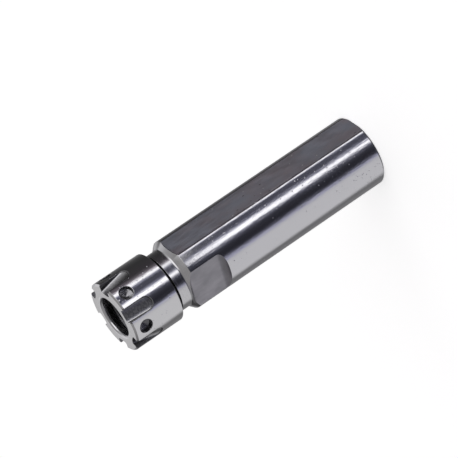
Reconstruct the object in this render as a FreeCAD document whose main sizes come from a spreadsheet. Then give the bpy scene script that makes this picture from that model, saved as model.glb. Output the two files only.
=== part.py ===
import FreeCAD, Part
import Sketcher
import os
import math

os.makedirs("parts", exist_ok=True)
doc = FreeCAD.newDocument("collet_chuck_extension")
Vec = FreeCAD.Vector
Rot = FreeCAD.Rotation
Place = FreeCAD.Placement

# Sizes in millimetres and degrees. Z runs from the rear face, at 0, to the face of the nut.
# The part is a 16 mm straight shank chuck for the 11 mm size of 8 degree collets, with the small round nut.
dims = doc.addObject("Spreadsheet::Sheet", "Dims")
inputs = [
    ("shank_dia", 16.0, "ground shank"),
    ("shank_len", 49.0, "rear face to the foot of the front cone"),
    ("rear_chamfer", 0.4, "outer edge of the rear face"),
    ("neck_step", 1.35, "shank to the polished neck, in radius"),
    ("neck_len", 2.4, "top of the cone to the thread relief"),
    ("neck_fillet", 0.7, "between neck and cone"),
    ("relief_under", 0.25, "thread relief below the pitch radius"),
    ("relief_len", 1.45, "width of the thread relief"),
    ("nut_wall", 1.75, "shank to the pitch radius of the M13 x 0.75 thread"),
    ("nose_chamfer", 0.35, "outer edge of the nose"),
    ("nose_wall", 0.75, "pitch radius to the collet taper at the nose face, which is 11 mm wide there"),
    ("taper_angle", 8.0, "half angle of the collet taper"),
    ("bore_dia", 7.0, "bore behind the taper"),
    ("stop_step", 0.175, "bore to the pitch radius of the M8 x 1 rear thread"),
    ("stop_thread_len", 28.0, "depth of the rear thread"),
    ("stop_sink", 0.45, "chamfer at the mouth of the rear thread"),
    ("clamp_depth", 0.62, "depth of the clamping flat below the shank"),
    ("clamp_short", 0.15, "the clamping flat's floor ends this far before the cone"),
    ("cutter_r", 1.5, "corner radius of the cutter that mills the flats"),
    ("wrench_depth", 1.5, "depth of a wrench flat below the shank, so 13 mm across the two"),
    ("wrench_len", 6.8, "flat floor of a wrench flat"),
    ("wrench_past", 0.25, "a wrench flat's floor runs this far past the foot of the cone"),
    ("nut_under", 0.05, "the nut stays this far inside the shank's outline, in radius"),
    ("nut_len", 11.7, "length of the clamping nut"),
    ("nut_gap", 0.85, "nut to the front end of the neck"),
    ("nose_gap", 0.2, "nose face to the collar room in the nut"),
    ("nut_turn", 4.5, "how far the nut stands turned from the flat, degrees"),
    ("face_cut", 0.43, "front chamfer of the nut, in radius"),
    ("face_cut_len", 0.3, "front chamfer of the nut, along the axis"),
    ("back_cut", 0.15, "rear chamfer of the nut"),
    ("thread_play", 0.05, "radial running clearance of both threads"),
    ("neck_room", 0.15, "radial room around the neck in the nut's rear recess"),
    ("recess_len", 0.9, "rear recess of the nut"),
    ("chamber_under", 0.3, "pitch radius to the room for the collet's collar"),
    ("chamber_from", 3.8, "nut face to the collar room"),
    ("chamber_to", 6.4, "nut face to the end of the collar room"),
    ("mouth_under", 1.05, "collet taper at the nose to the mouth of the nut, in radius"),
    ("mouth_len", 1.0, "straight part of the mouth"),
    ("mouth_round", 0.3, "rounding of the mouth's edge"),
    ("cone_angle", 30.0, "half angle of the nut's clamping cone"),
    ("cone_to", 2.9, "nut face to the end of the clamping cone"),
    ("ring_over", 0.6, "mouth to the eccentric extraction ring, in radius"),
    ("ring_shift", 0.4, "offset of the extraction ring"),
    ("slot_count", 6, "hook wrench slots"),
    ("slot_width", 2.8, "width of a slot, which is the end mill's"),
    ("slot_depth", 1.53, "depth of a slot's walls at the nut's face"),
    ("slot_ramp", 15.3, "angle at which the end mill rises towards the rear"),
    ("slot_run", 4.75, "nut face to the place where the end mill is lifted out"),
    ("hole_dia", 3.0, "blind round holes between the slots"),
    ("hole_from", 2.8, "nut face to the axis of the holes"),
    ("hole_depth", 1.35, "straight part of a hole"),
    ("hole_tip", 0.5, "cone at the bottom of a hole"),
    ("screw_len", 8.0, "backup screw"),
    ("screw_from", 17.0, "rear face to the backup screw"),
    ("screw_cut", 0.45, "chamfers of the backup screw"),
    ("screw_hex", 4.0, "across the flats of its socket"),
    ("screw_hex_depth", 4.5, "depth of its socket"),
    ("screw_hole", 2.6, "coolant hole through it"),
    ("overcut", 2.0, "how far a cut reaches beyond the metal"),
]
derived = [
    ("shank_r", "shank_dia / 2"),
    ("shank_r_in", "shank_r - rear_chamfer"),
    ("neck_r", "shank_r - neck_step"),
    ("cone_top", "shank_len + shank_r - neck_r"),
    ("fillet_run", "neck_fillet * tan(22.5)"),
    ("fillet_top", "cone_top + fillet_run"),
    ("fillet_foot", "cone_top - fillet_run * cos(45)"),
    ("fillet_r", "neck_r + fillet_run * cos(45)"),
    ("neck_end", "cone_top + neck_len"),
    ("relief_r", "thread_r - relief_under"),
    ("relief_end", "neck_end + relief_len"),
    ("thread_r", "shank_r - nut_wall"),
    ("nose_end", "nut_z + chamber_low - nose_gap"),
    ("nose_edge", "nose_end - nose_chamfer"),
    ("nose_r_in", "thread_r - nose_chamfer"),
    ("relief_ramp", "relief_end + thread_r - relief_r"),
    ("taper_r", "thread_r - nose_wall"),
    ("bore_r", "bore_dia / 2"),
    ("taper_end", "nose_end - (taper_r - bore_r) / tan(taper_angle)"),
    ("stop_r", "bore_r + stop_step"),
    ("stop_r_out", "stop_r + stop_sink"),
    ("stop_ramp", "stop_thread_len + stop_r - bore_r"),
    ("clamp_y", "clamp_depth - shank_r"),
    ("clamp_y_out", "clamp_y - cutter_r"),
    ("clamp_y_far", "clamp_y_out - overcut"),
    ("clamp_end", "shank_len - clamp_short"),
    ("clamp_end_top", "clamp_end + cutter_r"),
    ("below_rear", "0 - overcut"),
    ("wrench_x", "wrench_depth - shank_r"),
    ("wrench_x_out", "wrench_x - cutter_r"),
    ("wrench_x_far", "wrench_x_out - overcut"),
    ("wrench_top", "shank_len + wrench_past"),
    ("wrench_foot", "wrench_top - wrench_len"),
    ("wrench_top_out", "wrench_top + cutter_r"),
    ("wrench_foot_out", "wrench_foot - cutter_r"),
    ("nut_r", "shank_r - nut_under"),
    ("nut_z", "neck_end + nut_gap"),
    ("nut_r_face", "nut_r - face_cut"),
    ("nut_z_face", "nut_len - face_cut_len"),
    ("nut_r_back", "nut_r - back_cut"),
    ("nut_bore_r", "thread_r + thread_play"),
    ("recess_r", "neck_r + neck_room"),
    ("chamber_r", "thread_r - chamber_under"),
    ("chamber_low", "nut_len - chamber_to"),
    ("chamber_high", "nut_len - chamber_from"),
    ("mouth_r", "taper_r - mouth_under"),
    ("mouth_r_out", "mouth_r + mouth_round"),
    ("mouth_z_round", "nut_len - mouth_round"),
    ("mouth_z_in", "nut_len - mouth_len"),
    ("cone_z", "nut_len - cone_to"),
    ("cone_r", "mouth_r + (cone_to - mouth_len) * tan(cone_angle)"),
    ("ring_r", "mouth_r + ring_over"),
    ("slot_half", "slot_width / 2"),
    ("slot_half_low", "0 - slot_half"),
    ("slot_end_z", "nut_len - slot_run"),
    ("slot_front_z", "nut_len + overcut"),
    ("slot_end_r", "nut_r - slot_depth + slot_run * tan(slot_ramp)"),
    ("slot_y_end", "0 - slot_end_r"),
    ("slot_y_front", "slot_depth - nut_r + overcut * tan(slot_ramp)"),
    ("slot_y_out", "0 - nut_r - overcut"),
    ("slot_reach", "(slot_run + slot_half + overcut) / cos(slot_ramp)"),
    ("hole_r", "hole_dia / 2"),
    ("hole_z", "nut_len - hole_from"),
    ("hole_z_side", "hole_z - hole_r"),
    ("hole_y_wall", "hole_depth - nut_r"),
    ("hole_y_tip", "hole_y_wall + hole_tip"),
    ("hole_y_out", "slot_y_out"),
    ("screw_r", "stop_r - thread_play"),
    ("screw_r_in", "screw_r - screw_cut"),
    ("screw_z_cut", "screw_len - screw_cut"),
    ("screw_hole_r", "screw_hole / 2"),
    ("screw_hex_r", "screw_hex / 2 / cos(30)"),
]
for row, (name, number, note) in enumerate(inputs, start=1):
    dims.set("A%d" % row, str(number))
    dims.setAlias("A%d" % row, name)
    dims.set("B%d" % row, note)
for row, (name, formula) in enumerate(derived, start=len(inputs) + 1):
    dims.setAlias("A%d" % row, name)
for row, (name, formula) in enumerate(derived, start=len(inputs) + 1):
    dims.set("A%d" % row, "=" + formula)
doc.recompute()


def size(name):
    return float(dims.get(name))


def origin_plane(body, role):
    return [item for item in body.Origin.OriginFeatures if item.Role == role][0]


def new_sketch(body, name, role):
    sketch = body.newObject("Sketcher::SketchObject", name)
    sketch.AttachmentSupport = [(origin_plane(body, role), "")]
    sketch.MapMode = "FlatFace"
    return sketch


def pin_point(sketch, curve, end, names):
    # Holds one curve end at a pair of sheet cells; "0" keeps it on the sketch's own axis, and "" leaves it free.
    for axis, name in zip(("X", "Y"), names):
        if name == "":
            continue
        if name == "0":
            line = -2 if axis == "X" else -1
            sketch.addConstraint(Sketcher.Constraint("PointOnObject", curve, end, line))
            continue
        number = size(name)
        if number > 0:
            datum = sketch.addConstraint(Sketcher.Constraint("Distance" + axis, -1, 1, curve, end, number))
            formula = "Dims." + name
        else:
            datum = sketch.addConstraint(Sketcher.Constraint("Distance" + axis, curve, end, -1, 1, -number))
            formula = "0 - Dims." + name
        label = "%s_%d_%s" % (name, datum, axis.lower())
        sketch.renameConstraint(datum, label)
        sketch.setExpression("Constraints." + label, formula)


def profile(body, name, role, corners):
    # A closed outline. A corner is (cell, cell), or (cell, cell, radius cell, turn) where the curve that leaves it
    # is an arc; turn is 1 when the arc runs anticlockwise.
    sketch = new_sketch(body, name, role)
    place = [(0.0 if c[0] == "0" else size(c[0]), 0.0 if c[1] == "0" else size(c[1])) for c in corners]
    ends = []
    for i, corner in enumerate(corners):
        a = Vec(place[i][0], place[i][1], 0)
        b_xy = place[(i + 1) % len(place)]
        b = Vec(b_xy[0], b_xy[1], 0)
        if len(corner) == 2:
            curve = sketch.addGeometry(Part.LineSegment(a, b), False)
            ends.append((curve, 1, 2))
            continue
        radius = size(corner[2])
        half = (b - a) * 0.5
        rise = math.sqrt(max(radius * radius - half.Length ** 2, 0.0))
        side = Vec(-half.y, half.x, 0).normalize()
        centre = a + half + side * rise * corner[3]
        first, last = (a, b) if corner[3] > 0 else (b, a)
        start = math.atan2(first.y - centre.y, first.x - centre.x)
        stop = math.atan2(last.y - centre.y, last.x - centre.x)
        circle = Part.Circle(centre, Vec(0, 0, 1), radius)
        curve = sketch.addGeometry(Part.ArcOfCircle(circle, start, stop), False)
        ends.append((curve, 1, 2) if corner[3] > 0 else (curve, 2, 1))
    for i, (curve, start, stop) in enumerate(ends):
        following = ends[(i + 1) % len(ends)]
        sketch.addConstraint(Sketcher.Constraint("Coincident", curve, stop, following[0], following[1]))
    for i, corner in enumerate(corners):
        pin_point(sketch, ends[i][0], ends[i][1], corner[:2])
        if len(corner) == 4 and place[i][1] == place[(i + 1) % len(place)][1]:
            # A half circle between two points of one height: its centre is held at that height.
            pin_point(sketch, ends[i][0], 3, ("", corner[1]))
        elif len(corner) == 4:
            datum = sketch.addConstraint(Sketcher.Constraint("Radius", ends[i][0], size(corner[2])))
            label = "%s_%d" % (corner[2], datum)
            sketch.renameConstraint(datum, label)
            sketch.setExpression("Constraints." + label, "Dims." + corner[2])
    return sketch


def turned(body, name, sketch):
    feature = body.newObject("PartDesign::Revolution", name)
    feature.Profile = sketch
    feature.ReferenceAxis = (sketch, ["V_Axis"])
    feature.Angle = 360
    sketch.Visibility = False
    body.Tip = feature
    return feature


def grooved(body, name, sketch, axis="V_Axis"):
    feature = body.newObject("PartDesign::Groove", name)
    feature.Profile = sketch
    feature.ReferenceAxis = (sketch, [axis])
    feature.Angle = 360
    sketch.Visibility = False
    body.Tip = feature
    return feature


def milled(body, name, sketch):
    feature = body.newObject("PartDesign::Pocket", name)
    feature.Profile = sketch
    feature.Type = 1
    feature.Midplane = True
    sketch.Visibility = False
    body.Tip = feature
    return feature


def around(body, name, originals, count_cell=None, count=2):
    feature = body.newObject("PartDesign::PolarPattern", name)
    feature.Originals = originals
    feature.Axis = ([item for item in body.Origin.OriginFeatures if item.Role == "Z_Axis"][0], [""])
    feature.Angle = 360
    feature.Occurrences = count
    if count_cell:
        feature.Occurrences = int(size(count_cell))
        feature.setExpression("Occurrences", "Dims." + count_cell)
    body.Tip = feature
    return feature


# Chuck body. The outside is turned in one profile, from the shank over the cone, neck and relief to the nose.
chuck = doc.addObject("PartDesign::Body", "chuck_body")
chuck.Label = "chuck_body"
outer = profile(chuck, "chuck_outline", "XZ_Plane", [
    ("0", "0"),
    ("shank_r_in", "0"),
    ("shank_r", "rear_chamfer"),
    ("shank_r", "shank_len"),
    ("fillet_r", "fillet_foot", "neck_fillet", -1),
    ("neck_r", "fillet_top"),
    ("neck_r", "neck_end"),
    ("relief_r", "neck_end"),
    ("relief_r", "relief_end"),
    ("thread_r", "relief_ramp"),
    ("thread_r", "nose_edge"),
    ("nose_r_in", "nose_end"),
    ("0", "nose_end"),
])
turned(chuck, "chuck_turned", outer)

# One bore runs through: rear thread with its chamfer, drilled bore, and the 8 degree collet taper at the nose.
bore = profile(chuck, "chuck_bore_outline", "XZ_Plane", [
    ("0", "0"),
    ("stop_r_out", "0"),
    ("stop_r", "stop_sink"),
    ("stop_r", "stop_thread_len"),
    ("bore_r", "stop_ramp"),
    ("bore_r", "taper_end"),
    ("taper_r", "nose_end"),
    ("0", "nose_end"),
])
grooved(chuck, "chuck_bored", bore)

# Clamping flat over the whole shank. It ends at the front cone with the cutter's corner radius.
clamp = profile(chuck, "clamp_flat_outline", "YZ_Plane", [
    ("clamp_y", "below_rear"),
    ("clamp_y", "clamp_end", "cutter_r", 1),
    ("clamp_y_out", "clamp_end_top"),
    ("clamp_y_far", "clamp_end_top"),
    ("clamp_y_far", "below_rear"),
])
milled(chuck, "clamp_flat", clamp)

# Two wrench flats, a quarter turn from the clamping flat, with the cutter's radius at both ends.
wrench = profile(chuck, "wrench_flat_outline", "XZ_Plane", [
    ("wrench_x", "wrench_foot"),
    ("wrench_x", "wrench_top", "cutter_r", 1),
    ("wrench_x_out", "wrench_top_out"),
    ("wrench_x_far", "wrench_top_out"),
    ("wrench_x_far", "wrench_foot_out"),
    ("wrench_x_out", "wrench_foot_out", "cutter_r", 1),
])
wrench_cut = milled(chuck, "wrench_flat", wrench)
around(chuck, "wrench_flats", [wrench_cut])

# Clamping nut, in a frame of its own with Z = 0 at its rear face; it is placed on the nose by the sheet.
nut = doc.addObject("PartDesign::Body", "clamping_nut")
nut.Label = "clamping_nut"
nut.setExpression("Placement.Base.z", "Dims.nut_z")
nut.setExpression("Placement.Rotation.Angle", "Dims.nut_turn")
nut.Placement = Place(Vec(0, 0, size("nut_z")), Rot(Vec(0, 0, 1), size("nut_turn")))
nut_outer = profile(nut, "nut_outline", "XZ_Plane", [
    ("0", "0"),
    ("nut_r_back", "0"),
    ("nut_r", "back_cut"),
    ("nut_r", "nut_z_face"),
    ("nut_r_face", "nut_len"),
    ("0", "nut_len"),
])
turned(nut, "nut_turned", nut_outer)

# Inside of the nut: rear recess, thread, room for the collar, extraction ring, clamping cone and rounded mouth.
nut_inner = profile(nut, "nut_inside_outline", "XZ_Plane", [
    ("0", "0"),
    ("recess_r", "0"),
    ("recess_r", "recess_len"),
    ("nut_bore_r", "recess_len"),
    ("nut_bore_r", "chamber_low"),
    ("chamber_r", "chamber_low"),
    ("chamber_r", "chamber_high"),
    ("mouth_r", "chamber_high"),
    ("mouth_r", "cone_z"),
    ("cone_r", "cone_z"),
    ("mouth_r", "mouth_z_in"),
    ("mouth_r", "mouth_z_round", "mouth_round", -1),
    ("mouth_r_out", "nut_len"),
    ("0", "nut_len"),
])
grooved(nut, "nut_inside", nut_inner)

# The extraction ring is bored off centre, so that one side of it hooks into the collet's groove.
ring = new_sketch(nut, "ring_outline", "XY_Plane")
ring.AttachmentOffset = Place(Vec(0, 0, size("chamber_high")), Rot())
ring.setExpression("AttachmentOffset.Base.z", "Dims.chamber_high")
ring_circle = ring.addGeometry(Part.Circle(Vec(size("ring_shift"), 0, 0), Vec(0, 0, 1), size("ring_r")), False)
pin_point(ring, ring_circle, 3, ("ring_shift", "0"))
ring_radius = ring.addConstraint(Sketcher.Constraint("Radius", ring_circle, size("ring_r")))
ring.renameConstraint(ring_radius, "ring_r")
ring.setExpression("Constraints.ring_r", "Dims.ring_r")
ring_cut = nut.newObject("PartDesign::Pocket", "extraction_ring")
ring_cut.Profile = ring
ring_cut.Length = size("chamber_from") - size("cone_to")
ring_cut.setExpression("Length", "Dims.chamber_from - Dims.cone_to")
ring_cut.Reversed = True
ring.Visibility = False
nut.Tip = ring_cut

# One slot, open at the face. An end mill that stands square to the axis moves in from the face and rises on the way,
# which leaves a sloping floor that is hollow across. Its straight path is cut from the side. The half round below that
# path and the round end come from half the mill's circle, where it is lifted out. Then all six slots are made.
path = profile(nut, "slot_path", "YZ_Plane", [
    ("slot_y_end", "slot_end_z"),
    ("slot_y_out", "slot_end_z"),
    ("slot_y_out", "slot_front_z"),
    ("slot_y_front", "slot_front_z"),
])
path_cut = nut.newObject("PartDesign::Pocket", "slot")
path_cut.Profile = path
path_cut.Midplane = True
path_cut.Length = size("slot_width")
path_cut.setExpression("Length", "Dims.slot_width")
path.Visibility = False
nut.Tip = path_cut
slot_cuts = [path_cut]
for name in ("slot_floor", "slot_end"):
    mill = profile(nut, name + "_outline", "XZ_Plane", [
        ("slot_half", "slot_end_z"),
        ("slot_half_low", "slot_end_z", "slot_half", 1),
    ])
    mill.AttachmentOffset = Place(Vec(0, 0, size("slot_end_r")), Rot())
    mill.setExpression("AttachmentOffset.Base.z", "Dims.slot_end_r")
    mill_cut = nut.newObject("PartDesign::Pocket", name)
    mill_cut.Profile = mill
    mill.Visibility = False
    nut.Tip = mill_cut
    slot_cuts.append(mill_cut)
floor_cut, end_cut = slot_cuts[1:]
ramp = math.radians(size("slot_ramp"))
floor_cut.UseCustomVector = True
floor_cut.AlongSketchNormal = False
floor_cut.Direction = Vec(0, math.sin(ramp), math.cos(ramp))
floor_cut.setExpression("Direction.y", "sin(Dims.slot_ramp)")
floor_cut.setExpression("Direction.z", "cos(Dims.slot_ramp)")
floor_cut.Length = size("slot_reach")
floor_cut.setExpression("Length", "Dims.slot_reach")
end_cut.Reversed = True
end_cut.Length = size("slot_depth") + size("overcut")
end_cut.setExpression("Length", "Dims.slot_depth + Dims.overcut")
around(nut, "slots", slot_cuts, "slot_count")

# One blind hole with a drill point, halfway between two slots, then all six.
hole = profile(nut, "hole_outline", "YZ_Plane", [
    ("hole_y_tip", "hole_z"),
    ("hole_y_wall", "hole_z_side"),
    ("hole_y_out", "hole_z_side"),
    ("hole_y_out", "hole_z"),
])
half_step = 180.0 / size("slot_count")
hole.AttachmentOffset = Place(Vec(0, 0, 0), Rot(Vec(0, 1, 0), half_step))
hole.setExpression("AttachmentOffset.Rotation.Angle", "180 / Dims.slot_count")
hole_axis = hole.addGeometry(Part.LineSegment(Vec(-1, size("hole_z"), 0), Vec(-2, size("hole_z"), 0)), True)
pin_point(hole, hole_axis, 1, ("hole_y_tip", "hole_z"))
pin_point(hole, hole_axis, 2, ("hole_y_out", "hole_z"))
hole_cut = grooved(nut, "hole", hole, "Axis0")
around(nut, "holes", [hole_cut], "slot_count")

# Backup screw: hollow, chamfered at both ends, with a hexagon socket towards the nose.
screw = doc.addObject("PartDesign::Body", "backup_screw")
screw.Label = "backup_screw"
screw.Placement = Place(Vec(0, 0, size("screw_from")), Rot())
screw.setExpression("Placement.Base.z", "Dims.screw_from")
screw_outer = profile(screw, "screw_outline", "XZ_Plane", [
    ("screw_hole_r", "0"),
    ("screw_r_in", "0"),
    ("screw_r", "screw_cut"),
    ("screw_r", "screw_z_cut"),
    ("screw_r_in", "screw_len"),
    ("screw_hole_r", "screw_len"),
])
turned(screw, "screw_turned", screw_outer)
socket = new_sketch(screw, "socket_outline", "XY_Plane")
socket.AttachmentOffset = Place(Vec(0, 0, size("screw_len")), Rot())
socket.setExpression("AttachmentOffset.Base.z", "Dims.screw_len")
rim = socket.addGeometry(Part.Circle(Vec(0, 0, 0), Vec(0, 0, 1), size("screw_hex_r")), True)
socket.addConstraint(Sketcher.Constraint("Coincident", rim, 3, -1, 1))
rim_radius = socket.addConstraint(Sketcher.Constraint("Radius", rim, size("screw_hex_r")))
socket.renameConstraint(rim_radius, "screw_hex_r")
socket.setExpression("Constraints.screw_hex_r", "Dims.screw_hex_r")
corner = [Vec(size("screw_hex_r") * math.cos(math.radians(60 * i)),
              size("screw_hex_r") * math.sin(math.radians(60 * i)), 0) for i in range(6)]
sides = [socket.addGeometry(Part.LineSegment(corner[i], corner[(i + 1) % 6]), False) for i in range(6)]
for i in range(6):
    socket.addConstraint(Sketcher.Constraint("Coincident", sides[i], 2, sides[(i + 1) % 6], 1))
    socket.addConstraint(Sketcher.Constraint("PointOnObject", sides[i], 1, rim))
for i in range(1, 6):
    socket.addConstraint(Sketcher.Constraint("Equal", sides[0], sides[i]))
socket.addConstraint(Sketcher.Constraint("PointOnObject", sides[0], 1, -1))
socket_cut = screw.newObject("PartDesign::Pocket", "hex_socket")
socket_cut.Profile = socket
socket_cut.Length = size("screw_hex_depth")
socket_cut.setExpression("Length", "Dims.screw_hex_depth")
socket.Visibility = False
screw.Tip = socket_cut

doc.recompute()
for item in doc.Objects:
    if "Invalid" in item.State or "Error" in item.State:
        raise RuntimeError("%s did not build: %s" % (item.Name, item.State))
for item in doc.Objects:
    if item.TypeId == "Sketcher::SketchObject":
        if item.solve() != 0 or not item.FullyConstrained:
            raise RuntimeError("%s is not fully held by the sheet" % item.Name)
for body in (chuck, nut, screw):
    shape = body.Shape
    if shape.isNull() or not shape.isValid() or len(shape.Solids) != 1:
        raise RuntimeError("%s is not one valid solid" % body.Name)
    box = shape.BoundBox
    print(body.Name, "volume %.1f" % shape.Volume, "z %.2f to %.2f" % (box.ZMin, box.ZMax),
          "x %.2f to %.2f" % (box.XMin, box.XMax), "y %.2f to %.2f" % (box.YMin, box.YMax))
    shape.exportStep("parts/%s.step" % body.Name)
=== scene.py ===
import bpy
from mathutils import Matrix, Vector
from math import atan2, cos, degrees, hypot, pi, radians, sin, sqrt, tan


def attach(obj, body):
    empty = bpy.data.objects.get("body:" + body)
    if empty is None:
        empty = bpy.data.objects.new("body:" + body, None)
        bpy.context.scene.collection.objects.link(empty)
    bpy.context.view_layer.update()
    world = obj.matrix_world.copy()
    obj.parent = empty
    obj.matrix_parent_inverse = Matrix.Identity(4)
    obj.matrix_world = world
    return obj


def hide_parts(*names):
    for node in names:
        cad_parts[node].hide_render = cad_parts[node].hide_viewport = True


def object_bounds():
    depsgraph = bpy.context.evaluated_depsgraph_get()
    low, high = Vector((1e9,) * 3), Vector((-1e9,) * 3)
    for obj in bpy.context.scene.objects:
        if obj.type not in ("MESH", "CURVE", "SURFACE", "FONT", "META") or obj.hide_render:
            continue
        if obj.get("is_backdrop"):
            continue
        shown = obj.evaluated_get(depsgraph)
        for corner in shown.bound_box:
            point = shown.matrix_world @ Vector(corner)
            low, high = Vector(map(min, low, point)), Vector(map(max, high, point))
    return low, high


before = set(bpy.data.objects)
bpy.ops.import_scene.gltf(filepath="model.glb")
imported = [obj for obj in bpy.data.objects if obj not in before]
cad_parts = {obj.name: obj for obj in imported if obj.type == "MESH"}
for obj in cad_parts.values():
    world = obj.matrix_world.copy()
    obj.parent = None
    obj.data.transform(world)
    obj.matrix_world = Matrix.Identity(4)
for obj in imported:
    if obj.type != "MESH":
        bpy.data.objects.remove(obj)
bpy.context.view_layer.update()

# Chuck body, turned: one bar of hardened steel. The shank is ground and the neck polished. The nose carries
# the nut's thread and the 8 degree collet taper, and the rear of the bore is threaded for the backup screw.
# Radii and heights are in millimetres, from the axis and the rear face.
shank_r, shank_top, rear_chamfer = 8.0, 49.0, 0.4
neck_r, neck_top, neck_fillet, fillet_height = 6.65, 52.75, 0.7, 50.64
relief_r, relief_top, nose_face = 6.0, 54.2, 58.7
nose_thread_r, nose_thread_low, nose_thread_high = 6.25, 54.45, 58.35
stop_thread_r, stop_thread_low, stop_thread_high = 3.675, 0.45, 28.0
nut_pitch, stop_pitch = 0.75, 1.0
taper_r, bore_r, bore_top = 5.5, 3.5, 44.47


def near(value, target, slack=0.01):
    """Whether a length in metres is that many millimetres, give or take the slack."""
    return abs(value * 1000 - target) < slack


def only(piece):
    """Selects one piece alone and makes it the active one."""
    bpy.ops.object.select_all(action="DESELECT")
    piece.select_set(True)
    bpy.context.view_layer.objects.active = piece


def pick(piece, edges=None, faces=None):
    """Edit mode, with only the edges or faces of the piece selected that pass the test."""
    bpy.ops.object.mode_set(mode="EDIT")
    bpy.ops.mesh.select_mode(type="FACE" if faces else "EDGE")
    bpy.ops.mesh.select_all(action="DESELECT")
    bpy.ops.object.mode_set(mode="OBJECT")
    mesh = piece.data
    if faces:
        for face in mesh.polygons:
            face.select = faces(face)
    else:
        for edge in mesh.edges:
            edge.select = edges(*[mesh.vertices[v].co for v in edge.vertices])
    bpy.ops.object.mode_set(mode="EDIT")


def turn(name, outline, around):
    """A closed outline of (radius, height), drawn out ring by ring from a first circle and closed on it."""
    radius, height = outline[0]
    bpy.ops.object.select_all(action="DESELECT")
    bpy.ops.mesh.primitive_circle_add(vertices=around, radius=radius / 1000, location=(0, 0, height / 1000))
    piece = bpy.context.active_object
    piece.name = name
    bpy.ops.object.transform_apply(location=True, rotation=True, scale=True)
    bpy.ops.object.mode_set(mode="EDIT")
    bpy.ops.mesh.select_mode(type="EDGE")
    bpy.ops.mesh.select_all(action="SELECT")
    for next_radius, next_height in outline[1:] + outline[:1]:
        rise = (next_height - height) / 1000
        bpy.ops.mesh.extrude_region_move(TRANSFORM_OT_translate={"value": (0, 0, rise)})
        grow = next_radius / radius
        bpy.ops.transform.resize(value=(grow, grow, 1), center_override=(0, 0, next_height / 1000))
        radius, height = next_radius, next_height
    bpy.ops.mesh.select_all(action="SELECT")
    bpy.ops.mesh.remove_doubles(threshold=1e-6)
    bpy.ops.mesh.normals_make_consistent(inside=False)
    bpy.ops.object.mode_set(mode="OBJECT")
    return piece


def arc(radius, height, size, start, stop, steps):
    """Points of a rounding in the outline, round a centre at (radius, height), angles in degrees."""
    angles = [radians(start + (stop - start) * i / steps) for i in range(steps + 1)]
    return [(radius + size * cos(a), height + size * sin(a)) for a in angles]


def soften_ring(piece, radius, height, width):
    """Breaks one turned edge with a small rounding, as a stone or a polishing belt does."""
    def on_ring(a, b):
        return all(near(hypot(p.x, p.y), radius, 0.002) and near(p.z, height, 0.002) for p in (a, b))
    pick(piece, edges=on_ring)
    bpy.ops.mesh.bevel(offset=width / 1000, segments=2, profile=0.5)
    bpy.ops.object.mode_set(mode="OBJECT")


def cut_thread(piece, radius, low, high, pitch, depth, per_turn):
    """Divides a plain wall into rings and cuts the helix into it: depth is positive when it cuts outwards."""
    def on_wall(a, b):
        along = all(near(hypot(p.x, p.y), radius, 0.002) for p in (a, b))
        return along and near(abs(a.z - b.z), high - low, 0.002)
    pick(piece, edges=on_wall)
    bpy.ops.mesh.subdivide(number_cuts=int((high - low) / pitch * per_turn))
    bpy.ops.object.mode_set(mode="OBJECT")
    for vertex in piece.data.vertices:
        x, y, z = vertex.co
        if not near(hypot(x, y), radius, 0.002) or not low < z * 1000 < high:
            continue
        phase = (z * 1000 / pitch - atan2(y, x) / (2 * pi)) % 1.0
        # Over one pitch: an uncut crest, a sloping flank, a flat root and the other flank.
        flank = min(max((0.5 - abs(phase - 0.5)) * 4 - 0.5, 0.0), 1.0)
        fade = min((z * 1000 - low) / pitch, (high - z * 1000) / pitch, 1.0)
        grow = 1 + flank * fade * depth / radius
        vertex.co.x = x * grow
        vertex.co.y = y * grow


body = turn("turned_chuck_body", [
    (stop_thread_r + 0.45, 0.0), (shank_r - rear_chamfer, 0.0), (shank_r, rear_chamfer), (shank_r, shank_top),
    *arc(neck_r + neck_fillet, fillet_height, neck_fillet, 225, 180, 6),
    (neck_r, neck_top), (relief_r, neck_top), (relief_r, relief_top), (nose_thread_r, nose_thread_low),
    (nose_thread_r, nose_thread_high), (nose_thread_r - 0.35, nose_face), (taper_r, nose_face),
    (bore_r, bore_top), (bore_r, stop_thread_high + 0.175), (stop_thread_r, stop_thread_high),
    (stop_thread_r, stop_thread_low),
], 180)
for radius, height, width in [
        (shank_r - rear_chamfer, 0.0, 0.05), (shank_r, rear_chamfer, 0.06), (shank_r, shank_top, 0.08),
        (neck_r, neck_top, 0.03), (taper_r, nose_face, 0.05)]:
    soften_ring(body, radius, height, width)
cut_thread(body, stop_thread_r, stop_thread_low, stop_thread_high, stop_pitch, 0.3, 6)
cut_thread(body, nose_thread_r, nose_thread_low, nose_thread_high, nut_pitch, -0.28, 8)


# Chuck body, milled: the clamping flat faces -Y and runs from the rear face to the cone. The two wrench
# flats, 13 mm apart, face -X and +X. All three end in the cutter's corner radius. The clamping flat's long
# edges are broken, more on the -X side.
flat_y, flat_top = -7.38, 50.35
wrench_x, wrench_low, wrench_high = 6.5, 40.95, 50.75
cutter_corner, past_shank = 1.5, 14.0


def cutter_block(name, low, high, rounded):
    """A block between two corners, in mm. The edges that pass the test get the cutter's corner radius."""
    middle = [(a + b) / 2000 for a, b in zip(low, high)]
    span = [(b - a) / 1000 for a, b in zip(low, high)]
    bpy.ops.object.select_all(action="DESELECT")
    bpy.ops.mesh.primitive_cube_add(size=1, location=middle, scale=span)
    block = bpy.context.active_object
    block.name = name
    bpy.ops.object.transform_apply(location=True, rotation=True, scale=True)
    pick(block, edges=rounded)
    bpy.ops.mesh.bevel(offset=cutter_corner / 1000, segments=14, profile=0.5)
    bpy.ops.object.mode_set(mode="OBJECT")
    return block


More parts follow.
